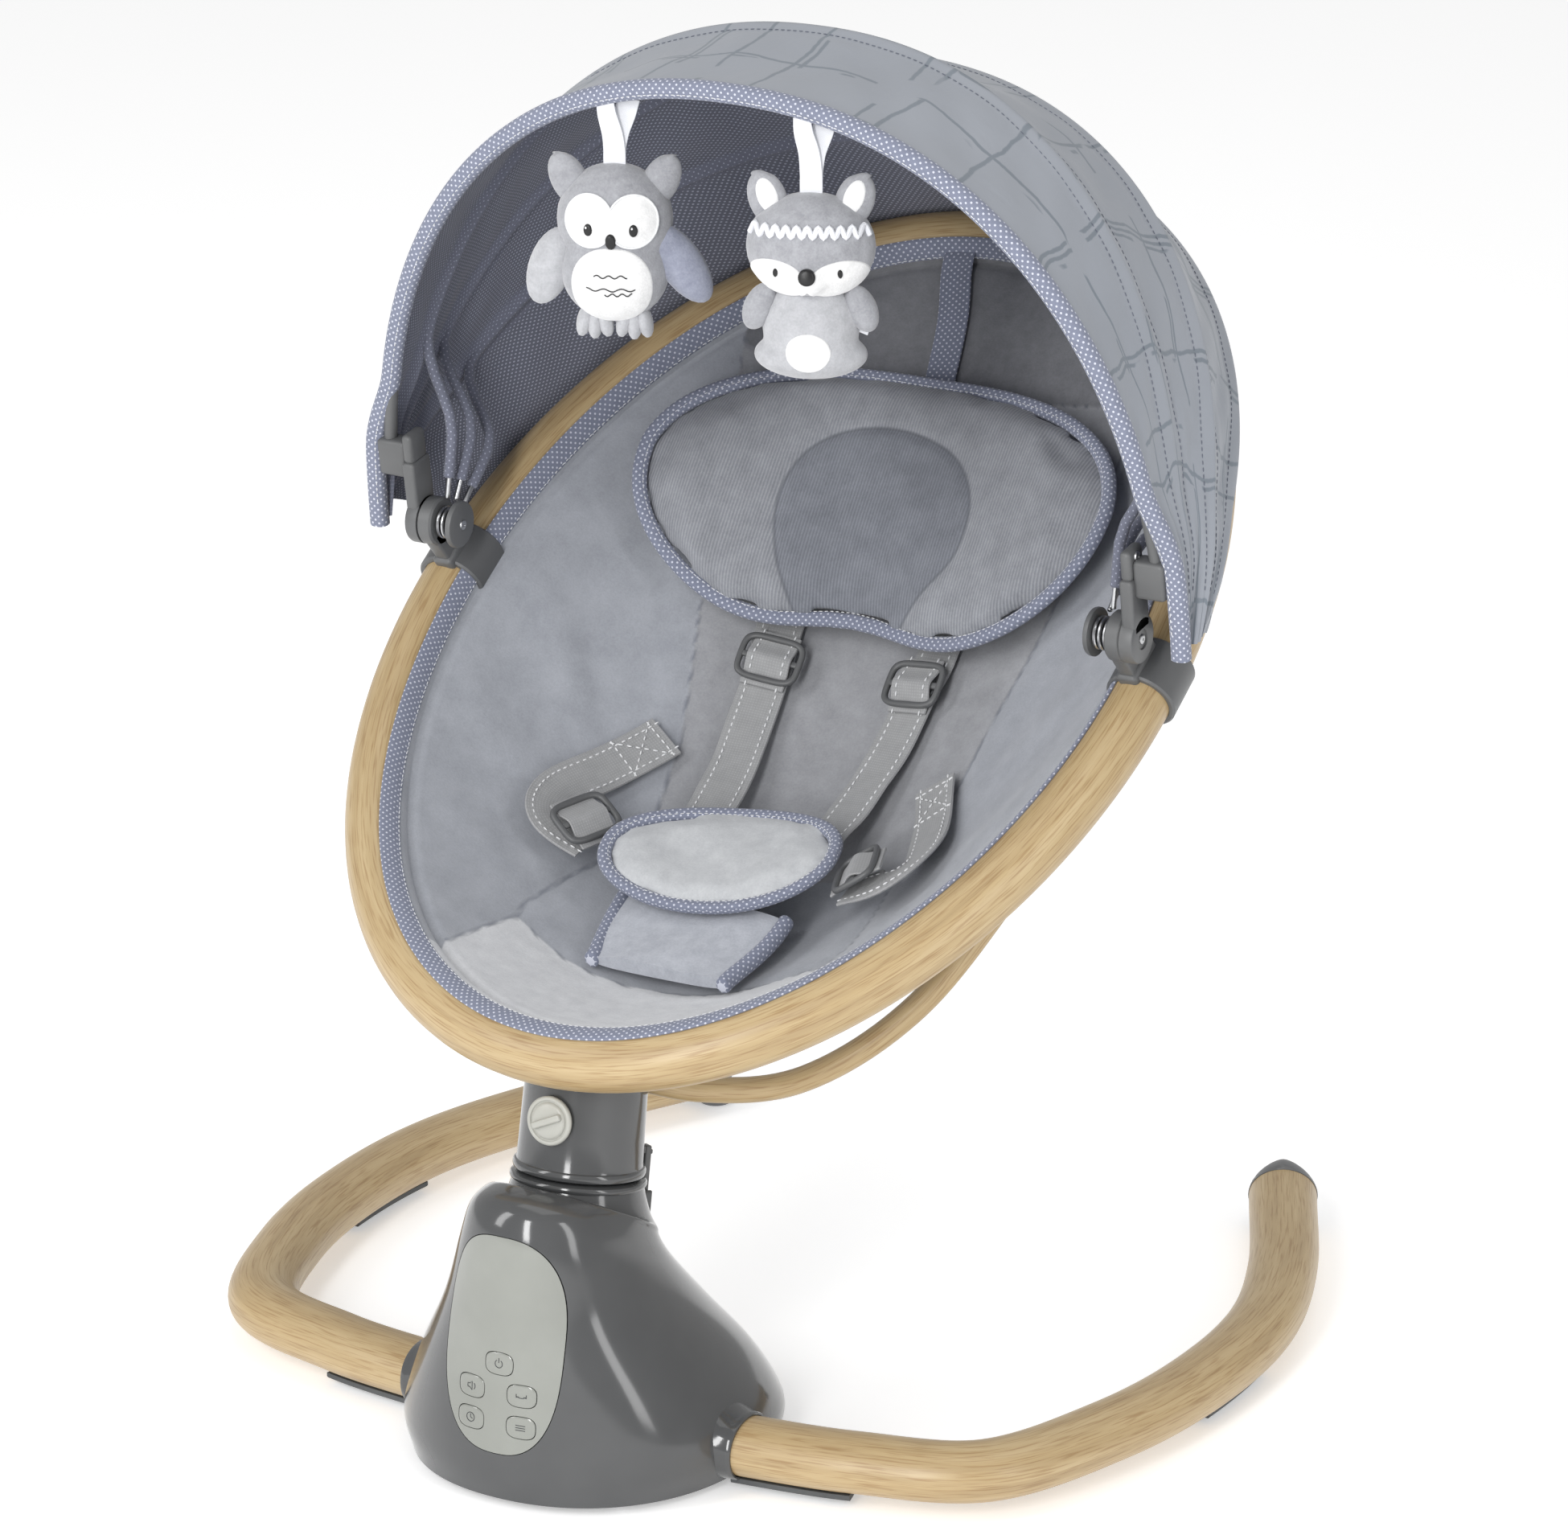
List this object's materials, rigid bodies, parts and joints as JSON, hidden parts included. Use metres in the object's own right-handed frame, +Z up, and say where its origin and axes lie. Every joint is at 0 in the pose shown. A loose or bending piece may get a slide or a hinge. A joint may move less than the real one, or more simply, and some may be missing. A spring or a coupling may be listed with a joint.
{
  "type": "baby swing",
  "caption": "Electric baby swing: sling seat in an oval tube hoop on a round drive column, floor stand with curved legs, harness, folding canopy and hanging plush toys.",
  "frame": {"origin": "on the floor, under the middle of the whole object's floor print", "axes": "+Z up, -Y towards the foot end with the control panel, +Y towards the head end, X = 0 is the plane of symmetry"},
  "size_m": [0.5392, 0.5432, 0.6679],
  "materials": {
    "oak_print_tube": "printed light oak, satin, stands in for a thin-walled metal tube",
    "dark_grey_abs": "glossy dark grey moulded ABS",
    "mid_grey_plastic": "satin mid grey moulded plastic",
    "panel_grey": "glossy grey-green membrane panel",
    "off_white_plastic": "off-white moulded knob",
    "bright_steel": "bright steel rod and turned steel",
    "copper_winding": "lacquered copper winding",
    "circuit_green": "green glass-fibre board",
    "grey_rubber": "matt dark grey rubber",
    "seat_velour": "blue-grey short-pile velour",
    "pillow_knit": "grey ribbed knit",
    "light_velour": "pale grey velour pad",
    "grey_webbing": "mid grey woven webbing",
    "canopy_cloth": "satin light blue-grey woven cloth with a thin line print",
    "plush_grey": "grey and white short plush"
  },
  "bodies": {
    "base": {"base_housing": "dark_grey_abs", "base_bottom_cover": "dark_grey_abs", "control_panel": "panel_grey", "circuit_board": "circuit_green", "speaker": "grey_rubber", "drive_coil": "copper_winding", "shaft_carrier": "dark_grey_abs", "shaft_bearing": "bright_steel", "power_jack": "grey_rubber", "leg_left": "oak_print_tube", "leg_right": "oak_print_tube", "leg_cap_left": "mid_grey_plastic", "leg_cap_right": "mid_grey_plastic", "leg_pad_front_left": "mid_grey_plastic", "leg_pad_front_right": "mid_grey_plastic", "leg_pad_rear_left": "mid_grey_plastic", "leg_pad_rear_right": "mid_grey_plastic", "housing_foot": "grey_rubber"},
    "key_power": {"button_power": "panel_grey"},
    "key_sound": {"button_sound": "panel_grey"},
    "key_swing": {"button_swing": "panel_grey"},
    "key_timer": {"button_timer": "panel_grey"},
    "key_mode": {"button_mode": "panel_grey"},
    "latch": {"swing_lock": "mid_grey_plastic"},
    "seat": {"swing_shaft": "bright_steel", "drive_arm": "dark_grey_abs", "drive_magnet": "bright_steel", "column_hub": "dark_grey_abs", "swing_column": "dark_grey_abs", "seat_bracket": "dark_grey_abs", "seat_hoop": "oak_print_tube", "support_bow": "oak_print_tube", "seat_sling": "seat_velour", "head_pillow": "pillow_knit", "shoulder_strap_left": "grey_webbing", "shoulder_strap_right": "grey_webbing", "shoulder_slider_left": "mid_grey_plastic", "shoulder_slider_right": "mid_grey_plastic", "waist_strap_left": "grey_webbing", "waist_strap_right": "grey_webbing", "waist_slider_left": "mid_grey_plastic", "waist_slider_right": "mid_grey_plastic", "crotch_pad": "light_velour", "harness_buckle": "mid_grey_plastic", "buckle_pad": "light_velour", "canopy_clamp_left": "mid_grey_plastic", "canopy_clamp_right": "mid_grey_plastic"},
    "knob": {"lock_knob": "off_white_plastic"},
    "front_bow": {"canopy_front_bow": "mid_grey_plastic", "canopy_arm_left": "mid_grey_plastic", "canopy_arm_right": "mid_grey_plastic", "canopy_gore_1": "canopy_cloth"},
    "rib_one": {"canopy_rib_1": "bright_steel", "canopy_gore_2": "canopy_cloth"},
    "rib_two": {"canopy_rib_2": "bright_steel", "canopy_gore_3": "canopy_cloth"},
    "rib_three": {"canopy_rib_3": "bright_steel", "canopy_gore_4": "canopy_cloth"},
    "owl": {"toy_owl": "plush_grey"},
    "fox": {"toy_fox": "plush_grey"}
  },
  "joints": [
    {"name": "swing", "type": "hinge", "parent": "base", "child": "seat", "pos_m": [0, -0.19031, 0.1465], "axis": [0, 0.1805, 0.9836], "range_deg": [-15, 15]},
    {"name": "lock_knob_turn", "type": "hinge", "parent": "seat", "child": "knob", "pos_m": [0, -0.21538, 0.1816], "axis": [0, -0.9836, 0.1805], "range_deg": [0, 90]},
    {"name": "swing_lock_tilt", "type": "hinge", "parent": "base", "child": "latch", "pos_m": [0.01918, -0.16246, 0.12817], "axis": [0.848, -0.5212, 0.0957], "range_deg": [0, 2.2]},
    {"name": "canopy_fold", "type": "hinge", "parent": "seat", "child": "front_bow", "pos_m": [0, -0.00162, 0.398], "axis": [-1, 0, 0], "range_deg": [0, 49.6], "deforming": ["canopy_gore_1", "canopy_gore_2", "canopy_gore_3", "canopy_gore_4"]},
    {"name": "rib_one_fold", "type": "hinge", "parent": "seat", "child": "rib_one", "pos_m": [0, -0.00162, 0.398], "axis": [-1, 0, 0], "range_deg": [0, 37.6], "deforming": ["canopy_gore_1", "canopy_gore_2"]},
    {"name": "rib_two_fold", "type": "hinge", "parent": "seat", "child": "rib_two", "pos_m": [0, -0.00162, 0.398], "axis": [-1, 0, 0], "range_deg": [0, 27.1], "deforming": ["canopy_gore_2", "canopy_gore_3"]},
    {"name": "rib_three_fold", "type": "hinge", "parent": "seat", "child": "rib_three", "pos_m": [0, -0.00162, 0.398], "axis": [-1, 0, 0], "range_deg": [0, 15.1], "deforming": ["canopy_gore_3", "canopy_gore_4"]},
    {"name": "key_power_press", "type": "slide", "parent": "base", "child": "key_power", "axis": [0, 1, 0], "range_m": [0, 0.001], "stiffness_N_per_m": 500},
    {"name": "key_sound_press", "type": "slide", "parent": "base", "child": "key_sound", "axis": [0, 1, 0], "range_m": [0, 0.001], "stiffness_N_per_m": 500},
    {"name": "key_swing_press", "type": "slide", "parent": "base", "child": "key_swing", "axis": [0, 1, 0], "range_m": [0, 0.001], "stiffness_N_per_m": 500},
    {"name": "key_timer_press", "type": "slide", "parent": "base", "child": "key_timer", "axis": [0, 1, 0], "range_m": [0, 0.001], "stiffness_N_per_m": 500},
    {"name": "key_mode_press", "type": "slide", "parent": "base", "child": "key_mode", "axis": [0, 1, 0], "range_m": [0, 0.001], "stiffness_N_per_m": 500},
    {"name": "owl_hang", "type": "hinge", "parent": "front_bow", "child": "owl", "pos_m": [-0.063, -0.04336, 0.64483], "axis": [1, 0, 0], "range_deg": [-30, 30]},
    {"name": "fox_hang", "type": "hinge", "parent": "front_bow", "child": "fox", "pos_m": [0.047, -0.04398, 0.64846], "axis": [1, 0, 0], "range_deg": [-30, 30]}
  ],
  "couplings": [
    {"joint": "rib_one_fold", "follows": "canopy_fold", "ratio": 0.75605},
    {"joint": "rib_two_fold", "follows": "canopy_fold", "ratio": 0.54436},
    {"joint": "rib_three_fold", "follows": "canopy_fold", "ratio": 0.30242}
  ]
}
